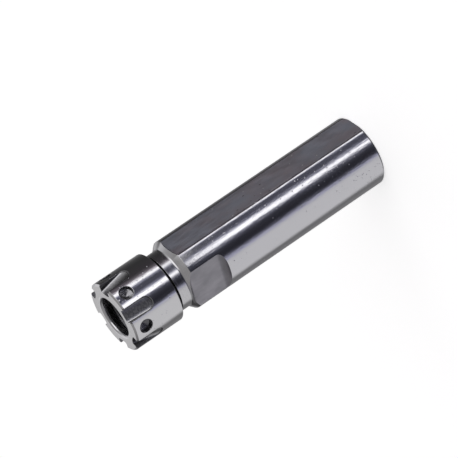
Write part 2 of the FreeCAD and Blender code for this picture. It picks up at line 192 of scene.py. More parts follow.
def cut_away(piece, cutters):
    """Takes the cutters out of the piece, one after another."""
    for cutter in cutters:
        only(piece)
        modifier = piece.modifiers.new("cut", "BOOLEAN")
        modifier.operation = "DIFFERENCE"
        modifier.solver = "EXACT"
        modifier.object = cutter
        bpy.ops.object.modifier_apply(modifier=modifier.name)
        bpy.data.objects.remove(cutter)


clamp_cutter = cutter_block("clamp_cutter", (-12, -past_shank, -4), (12, flat_y, flat_top),
                            lambda a, b: all(near(p.y, flat_y) and near(p.z, flat_top) for p in (a, b)))
wrench_cutters = []
for side in (-1, 1):
    low, high = sorted((side * wrench_x, side * past_shank))
    wrench_cutters.append(cutter_block("wrench_cutter", (low, -12, wrench_low), (high, 12, wrench_high),
                                       lambda a, b: near(a.z - b.z, 0)
                                       and all(near(p.x, side * wrench_x) for p in (a, b))))
cut_away(body, [clamp_cutter] + wrench_cutters)


def on_flat_edge(a, b, side):
    """The long edge where the clamping flat leaves the shank, on the side of -X or +X."""
    flat_side = all(near(p.y, flat_y, 0.002) and near(hypot(p.x, p.y), shank_r, 0.004) for p in (a, b))
    return flat_side and abs(a.z - b.z) > 0.004 and a.x * side > 0


for side, width in ((-1, 0.25), (1, 0.10)):
    pick(body, edges=lambda a, b: on_flat_edge(a, b, side))
    bpy.ops.mesh.bevel(offset=width / 1000, segments=3, profile=0.5)
    bpy.ops.object.mode_set(mode="OBJECT")
only(body)
bpy.ops.object.shade_smooth_by_angle(angle=radians(14))


# Steel finishes of the chuck body. The marks of grinding, turning and milling are shared node groups, and
# each finish sets them at its own scale.
def new_group(name, inputs, outputs):
    """An empty shader node group with named inputs and outputs, and its two end nodes."""
    group = bpy.data.node_groups.new(name, "ShaderNodeTree")
    for label, kind, value in inputs:
        socket = group.interface.new_socket(name=label, in_out="INPUT", socket_type=kind)
        if value is not None:
            socket.default_value = value
    for label, kind in outputs:
        group.interface.new_socket(name=label, in_out="OUTPUT", socket_type=kind)
    return group, group.nodes.new("NodeGroupInput"), group.nodes.new("NodeGroupOutput")


def math_node(tree, operation, first, second=None, third=None, clamp=False):
    """One step of arithmetic on numbers or on other nodes' outputs."""
    node = tree.nodes.new("ShaderNodeMath")
    node.operation = operation
    node.use_clamp = clamp
    for socket, value in zip(node.inputs, (first, second, third)):
        if value is None:
            continue
        if isinstance(value, (int, float)):
            socket.default_value = value
        else:
            tree.links.new(value, socket)
    return node.outputs[0]


# Turning marks run round the axis on a wall, and in circles on a face.
turning, given, result = new_group("turning_marks", [
    ("Vector", "NodeSocketVector", None), ("Fine", "NodeSocketFloat", 6000.0),
    ("Round", "NodeSocketFloat", 3.0), ("Detail", "NodeSocketFloat", 3.0)], [("Value", "NodeSocketFloat")])
split = turning.nodes.new("ShaderNodeSeparateXYZ")
turning.links.new(given.outputs["Vector"], split.inputs[0])
x, y, z = split.outputs
radius = math_node(turning, "SQRT", math_node(turning, "ADD", math_node(turning, "MULTIPLY", x, x),
                                               math_node(turning, "MULTIPLY", y, y)))
safe = math_node(turning, "MAXIMUM", radius, 1e-5)
around_x = math_node(turning, "MULTIPLY", math_node(turning, "DIVIDE", x, safe), given.outputs["Round"])
around_y = math_node(turning, "MULTIPLY", math_node(turning, "DIVIDE", y, safe), given.outputs["Round"])
along = math_node(turning, "MULTIPLY", math_node(turning, "ADD", z, radius), given.outputs["Fine"])
place = turning.nodes.new("ShaderNodeCombineXYZ")
for socket, value in zip(place.inputs, (around_x, around_y, along)):
    turning.links.new(value, socket)
noise = turning.nodes.new("ShaderNodeTexNoise")
turning.links.new(place.outputs[0], noise.inputs["Vector"])
noise.inputs["Scale"].default_value = 1.0
turning.links.new(given.outputs["Detail"], noise.inputs["Detail"])
turning.links.new(noise.outputs["Fac"], result.inputs["Value"])

# Straight marks of a milling cutter or a grinding wheel, at a scale of its own on each axis.
straight, given, result = new_group("straight_marks", [
    ("Vector", "NodeSocketVector", None), ("Scale", "NodeSocketVector", (1000, 1000, 1000)),
    ("Detail", "NodeSocketFloat", 3.0)], [("Value", "NodeSocketFloat")])
stretch = straight.nodes.new("ShaderNodeVectorMath")
stretch.operation = "MULTIPLY"
straight.links.new(given.outputs["Vector"], stretch.inputs[0])
straight.links.new(given.outputs["Scale"], stretch.inputs[1])
noise = straight.nodes.new("ShaderNodeTexNoise")
straight.links.new(stretch.outputs[0], noise.inputs["Vector"])
noise.inputs["Scale"].default_value = 1.0
straight.links.new(given.outputs["Detail"], noise.inputs["Detail"])
straight.links.new(noise.outputs["Fac"], result.inputs["Value"])

# Specks are tiny pits and dust; Amount says how much of the surface has them.
specks, given, result = new_group("specks", [
    ("Vector", "NodeSocketVector", None), ("Scale", "NodeSocketFloat", 2500.0),
    ("Amount", "NodeSocketFloat", 0.3)], [("Mask", "NodeSocketFloat")])
cells = specks.nodes.new("ShaderNodeTexVoronoi")
specks.links.new(given.outputs["Vector"], cells.inputs["Vector"])
specks.links.new(given.outputs["Scale"], cells.inputs["Scale"])
dot = math_node(specks, "SUBTRACT", 0.22, cells.outputs["Distance"])
dot = math_node(specks, "MULTIPLY", dot, 9.0, clamp=True)
pickout = specks.nodes.new("ShaderNodeSeparateColor")
specks.links.new(cells.outputs["Color"], pickout.inputs[0])
chosen = math_node(specks, "LESS_THAN", pickout.outputs[0], given.outputs["Amount"])
specks.links.new(math_node(specks, "MULTIPLY", dot, chosen), result.inputs["Mask"])


def steel(name, colour, roughness, metallic=1.0):
    """A bare metal and its object coordinates. Its plain colour and roughness are what it is on the whole,
    and the finish then goes into the same sockets and into Normal."""
    material = bpy.data.materials.new(name)
    material.use_nodes = True
    tree = material.node_tree
    shader = tree.nodes["Principled BSDF"]
    shader.inputs["Base Color"].default_value = (*colour, 1)
    shader.inputs["Roughness"].default_value = roughness
    shader.inputs["Metallic"].default_value = metallic
    place = tree.nodes.new("ShaderNodeTexCoord").outputs["Object"]
    return material, tree, shader, place


def use_group(tree, group, place, **values):
    """Places a shared group in a material, at its own values."""
    node = tree.nodes.new("ShaderNodeGroup")
    node.node_tree = group
    tree.links.new(place, node.inputs["Vector"])
    for label, value in values.items():
        node.inputs[label].default_value = value
    return node.outputs[0]


def mix_colours(tree, share, first, second):
    """From the first colour at share 0 to the second at 1; each is a colour or a node's output."""
    node = tree.nodes.new("ShaderNodeMix")
    node.data_type = "RGBA"
    tree.links.new(share, node.inputs["Factor"])
    for socket, value in ((node.inputs[6], first), (node.inputs[7], second)):
        if isinstance(value, tuple):
            socket.default_value = (*value, 1)
        else:
            tree.links.new(value, socket)
    return node.outputs[2]


def blend_colour(tree, shader, mask, first, second):
    """The steel's colour, mixed by a mask."""
    tree.links.new(mix_colours(tree, mask, first, second), shader.inputs["Base Color"])


def spread(tree, value, low, high, from_low=0.3, from_high=0.7):
    """Stretches a value to the range from low to high."""
    node = tree.nodes.new("ShaderNodeMapRange")
    tree.links.new(value, node.inputs["Value"])
    for label, number in (("From Min", from_low), ("From Max", from_high), ("To Min", low), ("To Max", high)):
        node.inputs[label].default_value = number
    return node.outputs["Result"]


def set_shine(tree, shader, marks, low, high):
    """The roughness, between low and high as the marks go."""
    tree.links.new(spread(tree, marks, low, high), shader.inputs["Roughness"])


def add_bump(tree, shader, height, distance):
    """Marks in the surface; the distance is how high, in metres, a height of 1 stands."""
    node = tree.nodes.new("ShaderNodeBump")
    node.inputs["Strength"].default_value = 1.0
    node.inputs["Distance"].default_value = distance
    tree.links.new(height, node.inputs["Height"])
    tree.links.new(node.outputs["Normal"], shader.inputs["Normal"])


# Ground shank: bright, with fine marks round it, a faint waviness along it, and small pits in patches. It
# falls off a little towards the clamping flat, with the square of the distance past edge_from, in metres.
edge_from, edge_fall = 0.0071, 2.3e8
ground, tree, shader, place = steel("ground_steel", (0.62, 0.62, 0.64), 0.14)
marks = use_group(tree, turning, place, Fine=9000.0, Round=6.0, Detail=4.0)
waves = use_group(tree, straight, place, Scale=(700.0, 700.0, 90.0), Detail=3.0)
clouds = use_group(tree, straight, place, Scale=(300.0, 300.0, 130.0), Detail=3.0)
pits = use_group(tree, specks, place, Scale=1500.0, Amount=0.40)
pits = math_node(tree, "MULTIPLY", pits, spread(tree, clouds, 0.0, 1.0, 0.47, 0.58))
blend_colour(tree, shader, pits, (0.62, 0.62, 0.64), (0.66, 0.66, 0.70))
shine = math_node(tree, "ADD", spread(tree, clouds, 0.08, 0.14), spread(tree, marks, 0.0, 0.06))
tree.links.new(math_node(tree, "MULTIPLY_ADD", pits, 0.30, shine), shader.inputs["Roughness"])
scratches = use_group(tree, straight, place, Scale=(2600.0, 2600.0, 900.0), Detail=4.0)
relief = math_node(tree, "MULTIPLY_ADD", waves, 14.0, math_node(tree, "MULTIPLY_ADD", scratches, 6.0, marks))
relief = math_node(tree, "SUBTRACT", relief, math_node(tree, "MULTIPLY", pits, 12.0))
split = tree.nodes.new("ShaderNodeSeparateXYZ")
tree.links.new(place, split.inputs[0])
to_flat = math_node(tree, "MAXIMUM", math_node(tree, "SUBTRACT", -edge_from, split.outputs["Y"]), 0.0)
rounding = math_node(tree, "MULTIPLY", math_node(tree, "MULTIPLY", to_flat, to_flat), edge_fall)
add_bump(tree, shader, math_node(tree, "SUBTRACT", relief, rounding), 2.0e-6)

# Clamping flat: ground, duller, with straight marks, faint stains, a few dark nicks and a few bright specks.
flat_finish, tree, shader, place = steel("flat_steel", (0.70, 0.69, 0.76), 0.46)
marks = use_group(tree, straight, place, Scale=(2500.0, 2500.0, 350.0), Detail=4.0)
clouds = use_group(tree, straight, place, Scale=(230.0, 230.0, 140.0), Detail=4.0)
dust = use_group(tree, specks, place, Scale=1200.0, Amount=0.04)
narrowed = tree.nodes.new("ShaderNodeVectorMath")
narrowed.operation = "MULTIPLY"
narrowed.inputs[1].default_value = (2.5, 1.0, 1.0)
tree.links.new(place, narrowed.inputs[0])
nicks = use_group(tree, specks, narrowed.outputs[0], Scale=640.0, Amount=0.12)
stains = spread(tree, clouds, 0.0, 1.0, 0.36, 0.62)
stained = mix_colours(tree, stains, (0.56, 0.52, 0.56), (0.56, 0.58, 0.65))
nicked = mix_colours(tree, nicks, stained, (0.20, 0.19, 0.21))
blend_colour(tree, shader, dust, nicked, (1.0, 1.0, 1.0))
set_shine(tree, shader, marks, 0.42, 0.54)
add_bump(tree, shader, math_node(tree, "MULTIPLY_ADD", dust, 6.0, marks), 4.0e-6)

# Wrench flats: milled, darker and softer than the clamping flat.
wrench_finish, tree, shader, place = steel("wrench_flat_steel", (0.34, 0.34, 0.36), 0.44)
marks = use_group(tree, straight, place, Scale=(2500.0, 2500.0, 500.0), Detail=4.0)
clouds = use_group(tree, straight, place, Scale=(260.0, 260.0, 220.0), Detail=3.0)
stains = spread(tree, clouds, 0.0, 1.0, 0.35, 0.65)
blend_colour(tree, shader, stains, (0.34, 0.335, 0.36), (0.42, 0.41, 0.44))
set_shine(tree, shader, marks, 0.40, 0.52)
add_bump(tree, shader, marks, 5.0e-6)


def lathe_steel(name, colour, roughness, dark, light, shine, bump, metallic=1.0, **marks_as):
    """A steel whose colour, shine and bump follow its turning marks and nothing else."""
    material, tree, shader, place = steel(name, colour, roughness, metallic)
    marks = use_group(tree, turning, place, **marks_as)
    blend_colour(tree, shader, spread(tree, marks, 0.0, 1.0), dark, light)
    set_shine(tree, shader, marks, *shine)
    add_bump(tree, shader, marks, bump)
    return material


# The neck and cone are turned and polished. The rear face, nose, bore and taper are left as they were
# turned. The relief behind the thread, and the nut's rear recess too, are painted near black: painted shade.
neck_finish = lathe_steel("neck_steel", (0.60, 0.60, 0.61), 0.16, (0.56, 0.56, 0.57), (0.64, 0.64, 0.65),
                          (0.12, 0.24), 3.0e-6, Fine=7000.0, Round=3.0, Detail=4.0)
turned_finish = lathe_steel("turned_steel", (0.50, 0.50, 0.51), 0.26, (0.46, 0.46, 0.47), (0.54, 0.54, 0.55),
                            (0.20, 0.34), 5.0e-6, Fine=5000.0, Round=2.0, Detail=4.0)
# Painted shade: near-black steel for the thread relief and the nut's rear recess, where shade falls.
recess_shade_finish = lathe_steel("recess_shade_steel", (0.05, 0.05, 0.05), 0.5, (0.03, 0.03, 0.035), (0.08, 0.08, 0.08),
                          (0.4, 0.6), 5.0e-6, Fine=5000.0, Round=2.0, Detail=3.0)


def finish_faces(piece, choose, *materials):
    """Gives each face the material whose number choose returns for its radius and place in mm and normal."""
    for material in materials:
        piece.data.materials.append(material)
    for face in piece.data.polygons:
        x, y, z = face.center
        face.material_index = choose(hypot(x, y) * 1000, x * 1000, y * 1000, z * 1000, face.normal)


on_shank, on_flat, on_neck, on_turned, in_relief, on_wrench_flat = range(6)


def chuck_finish(r, x, y, z, normal):
    """The number of the chuck's material at one place."""
    # The thread relief gets the near-black painted shade.
    if relief_r - 0.1 < r and neck_top - 0.01 < z < nose_thread_low + 0.05:
        return in_relief
    if r < taper_r + 0.1 or z < 0.02 or z > neck_top + 0.05:
        return on_turned
    if y < flat_y + 0.01 and abs(normal.x) < 0.01 and z < flat_top + 0.05:
        return on_flat
    by_wrench_x = abs(abs(x) - wrench_x) < cutter_corner - 0.02 and abs(normal.y) < 0.01
    if by_wrench_x and wrench_low - 0.05 < z < wrench_high + 0.05 and r < shank_r - 0.01:
        return on_wrench_flat
    return on_neck if z > shank_top else on_shank


finish_faces(body, chuck_finish, ground, flat_finish, neck_finish, turned_finish, recess_shade_finish, wrench_finish)
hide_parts("chuck_body")
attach(body, "chuck")

# Clamping nut: turned from hardened steel, screwed on the nose. Six slots for the hook wrench are open at the
# face, six blind holes lie between them, and an eccentric ring inside pulls the collet out. The outline's
# heights are above the nut's rear.
nut_rear, nut_len, nut_turn, nut_r = 53.6, 11.7, 4.5, 7.95
nut_front = nut_rear + nut_len
mouth_r, mouth_round, mouth_depth, cone_r = 4.45, 0.6, 1.0, 5.547
collar_r, ring_low, ring_high, ring_r, ring_shift = 5.95, 7.9, 8.8, 5.05, 0.4
nut_thread_r, thread_low, thread_high, recess_r = 6.3, 0.9, 5.3, 6.8
nut_outline = [
    (recess_r, 0.0), (nut_r - 0.15, 0.0), (nut_r, 0.15), (nut_r, nut_len - 0.3), (nut_r - 0.43, nut_len),
    *arc(mouth_r + mouth_round, nut_len - mouth_round, mouth_round, 90, 180, 8),
    (mouth_r, nut_len - mouth_depth), (cone_r, ring_high), (mouth_r, ring_high), (mouth_r, ring_low),
    (collar_r, ring_low), (collar_r, thread_high), (nut_thread_r, thread_high), (nut_thread_r, thread_low),
    (recess_r, thread_low)]
nut = turn("turned_clamping_nut", [(radius, nut_rear + height) for radius, height in nut_outline], 192)
for radius, height in nut_outline[1:5]:
    soften_ring(nut, radius, nut_rear + height, 0.05)
cut_thread(nut, nut_thread_r, nut_rear + thread_low, nut_rear + thread_high, nut_pitch, 0.28, 8)


def round_bar(radius, length, place, around=64, across=True):
    """A cylinder in mm round a place: across lays it along Y, otherwise it stands along Z."""
    bpy.ops.object.select_all(action="DESELECT")
    bpy.ops.mesh.primitive_cylinder_add(vertices=around, radius=radius / 1000, depth=length / 1000,
                                        rotation=(radians(90) if across else 0, 0, 0),
                                        location=[part / 1000 for part in place])
    bar = bpy.context.active_object
    bpy.ops.object.transform_apply(location=True, rotation=True, scale=True)
    return bar


# The extraction ring is bored off the axis, from the room for the collet's collar up to the clamping cone.
ring_cutter = round_bar(ring_r, 1.0, (ring_shift, 0, nut_rear + ring_high - 0.5), around=96, across=False)

# One slot: an end mill that stands square to the axis comes in from the face and rises on its way to its last
# place. What it takes is the hull of its first and last place, so the slot's floor is hollow across.
mill_r, mill_run, mill_rise, slot_depth = 1.4, 4.75, radians(15.3), 1.53
mill_foot = nut_r - slot_depth + mill_run * tan(mill_rise)
way_out = (mill_run + 3.5) / 1000
mill = round_bar(mill_r, 5.0, (0, -(mill_foot + 2.5), nut_front - mill_run))
bpy.ops.object.mode_set(mode="EDIT")
bpy.ops.mesh.select_all(action="SELECT")
bpy.ops.mesh.duplicate_move(TRANSFORM_OT_translate={"value": (0, way_out * tan(mill_rise), way_out)})
bpy.ops.mesh.select_all(action="SELECT")
bpy.ops.mesh.convex_hull(join_triangles=False)
bpy.ops.mesh.normals_make_consistent(inside=False)
bpy.ops.object.mode_set(mode="OBJECT")

# One blind hole: a 3 mm drill with its point.
hole_r, hole_z, hole_depth, hole_point = 1.5, nut_front - 2.8, 1.35, 0.5
drill = round_bar(hole_r, 6.0, (0, hole_depth - nut_r - 3.0, hole_z), around=48)
pick(drill, faces=lambda face: len(face.vertices) == 48 and face.center.y * 1000 > -nut_r)
bpy.ops.mesh.extrude_region_move(TRANSFORM_OT_translate={"value": (0, hole_point / 1000, 0)})
bpy.ops.transform.resize(value=(0.02, 1, 0.02), center_override=(0, 0, hole_z / 1000))
bpy.ops.object.mode_set(mode="OBJECT")


def edge_rounder(name, half, foot, run, rounding):
    """Takes the edge off a hole or slot in the nut's wall: a lip that follows the outline and the curve. Half
    is the outline's half width, foot its round end's height, and run the length of its straight sides."""
    bpy.ops.object.select_all(action="DESELECT")
    bpy.ops.mesh.primitive_circle_add(vertices=64, radius=half / 1000, fill_type="NGON",
                                      location=(0, 0, foot / 1000), rotation=(radians(90), 0, 0))
    lip = bpy.context.active_object
    lip.name = name
    # Half a step round, so that no point is level with the middle, where the straight sides begin.
    lip.data.transform(Matrix.Rotation(pi / 64, 4, "Z"))
    bpy.ops.object.transform_apply(location=True, rotation=True, scale=True)
    # Each ring says how much wider than the outline it is, and how deep below the wall.
    steps = [radians(way) for way in (0, 20, 40, 58, 72)]
    corner = [(rounding * (1 - cos(way)), rounding * (1 - sin(way))) for way in steps]
    rings = [(-0.12, -0.3), (-0.02, rounding + 0.01)] + corner + [(corner[-1][0] + 0.45, -0.15), (0.9, -0.6)]
    bpy.ops.object.mode_set(mode="EDIT")
    bpy.ops.mesh.select_all(action="SELECT")
    for ring in rings[1:]:
        bpy.ops.mesh.extrude_region_move(TRANSFORM_OT_translate={"value": (0, -0.001, 0)})
    bpy.ops.object.mode_set(mode="OBJECT")
    for vertex in lip.data.vertices:
        wider, deeper = rings[round(-vertex.co.y * 1000)]
        side, up = vertex.co.x * 1000 / half, vertex.co.z * 1000 - foot
        reach = (half + wider) / half
        vertex.co.x = side * (half + wider) / 1000
        vertex.co.z = (foot + up * reach + (run if up > 0 else 0)) / 1000
        vertex.co.y = -sqrt((nut_r - deeper) ** 2 - (vertex.co.x * 1000) ** 2) / 1000
    only(lip)
    bpy.ops.object.mode_set(mode="EDIT")
    bpy.ops.mesh.select_all(action="SELECT")
    bpy.ops.mesh.normals_make_consistent(inside=False)
    bpy.ops.object.mode_set(mode="OBJECT")
    return lip


slot_round, hole_round = 0.3, 0.1
slot_lip = edge_rounder("slot_lip", mill_r, nut_front - mill_run, mill_run + 2.5, slot_round)
hole_lip = edge_rounder("hole_lip", hole_r, hole_z, 0, hole_round)


def six_times(cutter, turn_by):
    """Six copies round the nut, joined in one cutter."""
    copies = []
    for number in range(6):
        copy = cutter.copy()
        copy.data = cutter.data.copy()
        bpy.context.collection.objects.link(copy)
        copy.rotation_euler.z = radians(60 * number + turn_by)
        only(copy)
        bpy.ops.object.transform_apply(location=True, rotation=True, scale=True)
        copies.append(copy)
    bpy.data.objects.remove(cutter)
    for copy in copies:
        copy.select_set(True)
    bpy.ops.object.join()
    return copies[-1]


cut_away(nut, [ring_cutter, six_times(slot_lip, 0), six_times(hole_lip, 30),
               six_times(mill, 0), six_times(drill, 30)])
only(nut)
bpy.ops.object.shade_smooth_by_angle(angle=radians(14))

# Nut finishes: polished outside, matt turned face, milled slots whose walls are painted dark (painted shade),
# drilled holes painted darker (painted shade), turned inside, and the rear recess painted near black (painted
# shade).
# Slots and holes lie every 60 degrees, so their marks are worked out from the middle of the nearest one.
def nearest_place(group, vector, turned_to, height):
    """The distance across and along the axis from the middle of the nearest slot or hole."""
    split = group.nodes.new("ShaderNodeSeparateXYZ")
    group.links.new(vector, split.inputs[0])
    x, y, z = split.outputs
    angle = math_node(group, "SUBTRACT", math_node(group, "ARCTAN2", y, x), turned_to)
    angle = math_node(group, "WRAP", angle, pi / 6, -pi / 6)
    squares = math_node(group, "MULTIPLY_ADD", x, x, math_node(group, "MULTIPLY", y, y))
    across = math_node(group, "MULTIPLY", math_node(group, "SQRT", squares), math_node(group, "SINE", angle))
    return across, math_node(group, "SUBTRACT", z, height)


def marks_along(group, across, way, fine, result):
    """Noise that is coarse across and fine along the tool's way, so that it follows the tool's marks."""
    place = group.nodes.new("ShaderNodeCombineXYZ")
    group.links.new(math_node(group, "MULTIPLY", across, 500.0), place.inputs[0])
    group.links.new(math_node(group, "MULTIPLY", way, fine), place.inputs[2])
    noise = group.nodes.new("ShaderNodeTexNoise")
    group.links.new(place.outputs[0], noise.inputs["Vector"])
    noise.inputs["Scale"].default_value = 1.0
    noise.inputs["Detail"].default_value = 2.0
    group.links.new(noise.outputs["Fac"], result.inputs["Value"])


# Drill marks are rings round the hole's axis, and they also give the distance from it, for the drill's point.
placed = [("Vector", "NodeSocketVector", None), ("Turn", "NodeSocketFloat", 0.0),
          ("Height", "NodeSocketFloat", 0.0), ("Fine", "NodeSocketFloat", 4000.0)]
drill_marks, given, result = new_group("drill_marks", placed, [("Value", "NodeSocketFloat"),
                                                               ("Distance", "NodeSocketFloat")])
across, up = nearest_place(drill_marks, *[given.outputs[label] for label in ("Vector", "Turn", "Height")])
squares = math_node(drill_marks, "MULTIPLY_ADD", across, across, math_node(drill_marks, "MULTIPLY", up, up))
from_axis = math_node(drill_marks, "SQRT", squares)
marks_along(drill_marks, across, from_axis, given.outputs["Fine"], result)
drill_marks.links.new(from_axis, result.inputs["Distance"])

# Mill marks are the half circles that the end mill's front leaves one behind the other, and Half is the
# slot's half width.
mill_marks, given, result = new_group("mill_marks", placed + [("Half", "NodeSocketFloat", mill_r / 1000)],
                                      [("Value", "NodeSocketFloat")])
across, up = nearest_place(mill_marks, *[given.outputs[label] for label in ("Vector", "Turn", "Height")])
half = given.outputs["Half"]
rest = math_node(mill_marks, "SUBTRACT", math_node(mill_marks, "MULTIPLY", half, half),
                 math_node(mill_marks, "MULTIPLY", across, across))
front = math_node(mill_marks, "SQRT", math_node(mill_marks, "MAXIMUM", rest, 0.0))
marks_along(mill_marks, across, math_node(mill_marks, "ADD", up, front), given.outputs["Fine"], result)

nut_polish, tree, shader, place = steel("polished_steel", (0.64, 0.64, 0.65), 0.15)
marks = use_group(tree, turning, place, Fine=6000.0, Round=4.0, Detail=4.0)
waves = use_group(tree, straight, place, Scale=(800.0, 800.0, 160.0), Detail=3.0)
clouds = use_group(tree, straight, place, Scale=(320.0, 320.0, 320.0), Detail=3.0)
pits = use_group(tree, specks, place, Scale=1500.0, Amount=0.45)
pits = math_node(tree, "MULTIPLY", pits, spread(tree, clouds, 0.0, 1.0, 0.47, 0.58))
blend_colour(tree, shader, pits, (0.64, 0.64, 0.65), (0.70, 0.70, 0.74))
tree.links.new(math_node(tree, "MULTIPLY_ADD", pits, 0.30, spread(tree, marks, 0.07, 0.15)),
               shader.inputs["Roughness"])
scratches = use_group(tree, straight, place, Scale=(2600.0, 2600.0, 400.0), Detail=4.0)
relief = math_node(tree, "MULTIPLY_ADD", waves, 10.0, math_node(tree, "MULTIPLY_ADD", scratches, 4.0, marks))
add_bump(tree, shader, math_node(tree, "SUBTRACT", relief, math_node(tree, "MULTIPLY", pits, 10.0)), 2.0e-6)

nut_face = lathe_steel("turned_face_steel", (0.60, 0.60, 0.60), 0.34, (0.56, 0.56, 0.56), (0.66, 0.66, 0.66),
                       (0.28, 0.42), 6.0e-6, Fine=6500.0, Round=2.0, Detail=3.0)

slot_finish, tree, shader, place = steel("milled_slot_steel", (0.56, 0.56, 0.57), 0.18)
marks = use_group(tree, mill_marks, place, Turn=radians(nut_turn - 90), Height=nut_front / 1000, Fine=3600.0)
grain = use_group(tree, straight, place, Scale=(2400.0, 2400.0, 2400.0), Detail=3.0)
blend_colour(tree, shader, spread(tree, grain, 0.0, 1.0), (0.50, 0.50, 0.51), (0.62, 0.62, 0.63))
set_shine(tree, shader, grain, 0.14, 0.24)
add_bump(tree, shader, math_node(tree, "MULTIPLY_ADD", marks, 2.0, grain), 4.0e-6)

# Slot walls and their rounded lips: the slots' milled steel painted dark, as painted shade in the slots.
slot_wall_shade_finish, tree, shader, place = steel("slot_wall_painted_shade", (0.16, 0.16, 0.17), 0.24)
marks = use_group(tree, straight, place, Scale=(2400.0, 2400.0, 900.0), Detail=3.0)
blend_colour(tree, shader, spread(tree, marks, 0.0, 1.0), (0.12, 0.12, 0.125), (0.24, 0.24, 0.25))
set_shine(tree, shader, marks, 0.34, 0.48)
add_bump(tree, shader, marks, 4.0e-6)

point_slope = 13000.0
# Drilled holes: the steel is painted darker than the nut's outside, as painted shade in the holes.
hole_shade_finish, tree, shader, place = steel("drilled_steel_shaded", (0.32, 0.32, 0.33), 0.24)
marks = use_group(tree, drill_marks, place, Turn=radians(nut_turn - 60), Height=hole_z / 1000, Fine=3200.0)
dust = use_group(tree, specks, place, Scale=1800.0, Amount=0.35)
blend_colour(tree, shader, dust, (0.30, 0.30, 0.31), (0.85, 0.85, 0.87))
set_shine(tree, shader, marks, 0.18, 0.32)
torn = use_group(tree, straight, place, Scale=(2100.0, 2100.0, 2100.0), Detail=3.0)
relief = math_node(tree, "MULTIPLY_ADD", torn, 7.0, marks)
relief = math_node(tree, "MULTIPLY_ADD", dust, 1.5, relief)
relief = math_node(tree, "MULTIPLY_ADD", marks.node.outputs["Distance"], point_slope, relief)
add_bump(tree, shader, relief, 9.0e-6)


on_outside, on_face, on_slot_floor, on_inside, in_hole, in_recess, on_slot_wall = range(7)


def nut_finish(r, x, y, z, normal):
    """The number of the nut's material at one place: reach is how far it is from the middle of a slot."""
    outward = (normal.x * x + normal.y * y) / max(r, 1e-6)
    lip_r = mouth_r + mouth_round
    if z > nut_front - 0.01 and r > lip_r - 0.01:
        return on_face
    if r < lip_r + 0.01 and z > nut_front - mouth_round:
        return on_outside
    if r < nut_thread_r + 0.01 and z > nut_rear + thread_low + 0.05:
        return on_inside
    # The nut's rear recess gets the near-black painted shade.
    if r < recess_r + 0.01 and z < nut_rear + thread_low + 0.05:
        return in_recess
    off_slot = (degrees(atan2(y, x)) + 90 + 30) % 60 - 30
    reach = hypot(r * sin(radians(off_slot)), min(z - nut_front + mill_run, 0))
    if reach < mill_r + slot_round + 0.02 and r < nut_r - 0.02:
        # Faces of the slot that are not its floor, its walls and rounded lips, take the dark painted shade.
        is_floor = reach < mill_r + 0.01 and (outward > 0.5 or normal.z > 0.5)
        return on_slot_floor if is_floor else on_slot_wall
    off_hole = (degrees(atan2(y, x)) + 90) % 60 - 30
    if hypot(r * sin(radians(off_hole)), z - hole_z) < hole_r + 0.01 and r < nut_r - 0.1:
        return in_hole
    return on_outside


finish_faces(nut, nut_finish, nut_polish, nut_face, slot_finish, turned_finish, hole_shade_finish, recess_shade_finish,
             slot_wall_shade_finish)
only(nut)
nut.rotation_euler.z = radians(nut_turn)
bpy.ops.object.transform_apply(location=True, rotation=True, scale=True)
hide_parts("clamping_nut")
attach(nut, "nut")

# Backup screw: a hollow set screw of blackened steel, screwed into the rear thread. Its hexagon socket looks
# towards the nose, so that a long key can turn it from the front.
screw_foot, screw_len, screw_r, screw_cut, screw_hole_r = 17.0, 8.0, 3.625, 0.45, 1.3
screw_top = screw_foot + screw_len
screw = turn("turned_backup_screw", [
    (screw_hole_r, screw_foot), (screw_r - screw_cut, screw_foot), (screw_r, screw_foot + screw_cut),
    (screw_r, screw_top - screw_cut), (screw_r - screw_cut, screw_top), (screw_hole_r, screw_top)], 96)
cut_thread(screw, screw_r, screw_foot + screw_cut, screw_top - screw_cut, stop_pitch, -0.3, 8)
socket_flats, socket_depth, above_screw = 4.0, 4.5, 2.0
bpy.ops.object.select_all(action="DESELECT")
bpy.ops.mesh.primitive_cylinder_add(vertices=6, radius=socket_flats / 2 / cos(radians(30)) / 1000,
                                    depth=(socket_depth + above_screw) / 1000, rotation=(0, 0, radians(30)),
                                    location=(0, 0, (screw_top + (above_screw - socket_depth) / 2) / 1000))
hexagon = bpy.context.active_object
bpy.ops.object.transform_apply(location=True, rotation=True, scale=True)
cut_away(screw, [hexagon])
only(screw)
bpy.ops.object.shade_smooth_by_angle(angle=radians(14))
black = lathe_steel("blackened_steel", (0.05, 0.05, 0.055), 0.42, (0.035, 0.035, 0.04), (0.09, 0.09, 0.095),
                    (0.34, 0.5), 6.0e-6, 0.8, Fine=4000.0, Round=3.0, Detail=4.0)
screw.data.materials.append(black)
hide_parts("backup_screw")
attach(screw, "stop")

# Floor: a plain pale table top, large enough to fill every view. It glows a little, so that it stays as pale
# as paper under the dim studio, and it isn't seen in the steel.
bpy.ops.object.select_all(action="DESELECT")
bpy.ops.mesh.primitive_plane_add(size=20)
floor = bpy.context.active_object
floor.name = "pale_floor"
floor_paint = bpy.data.materials.new("pale_paint")
floor_paint.use_nodes = True
floor_shader = floor_paint.node_tree.nodes["Principled BSDF"]
floor_shader.inputs["Base Color"].default_value = (0.86, 0.86, 0.86, 1)
floor_shader.inputs["Roughness"].default_value = 0.9
floor_shader.inputs["Specular IOR Level"].default_value = 0.0
floor_shader.inputs["Emission Color"].default_value = (1, 1, 1, 1)
floor_shader.inputs["Emission Strength"].default_value = 0.62
floor.data.materials.append(floor_paint)
floor.visible_glossy = False
floor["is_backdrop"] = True

# Studio: a room of soft strip lights and dark panels. Each entry is an angle round the object from the
# camera, in degrees, a brightness and a tone. The low ring shows in upright walls, the middle ring in the
# slots' floors, and the high ring in the nut's face and the cones.
camera_azimuth = -135.96
plain, cool, violet = (1.0, 0.99, 1.01), (0.96, 0.96, 1.26), (1.05, 0.94, 1.06)
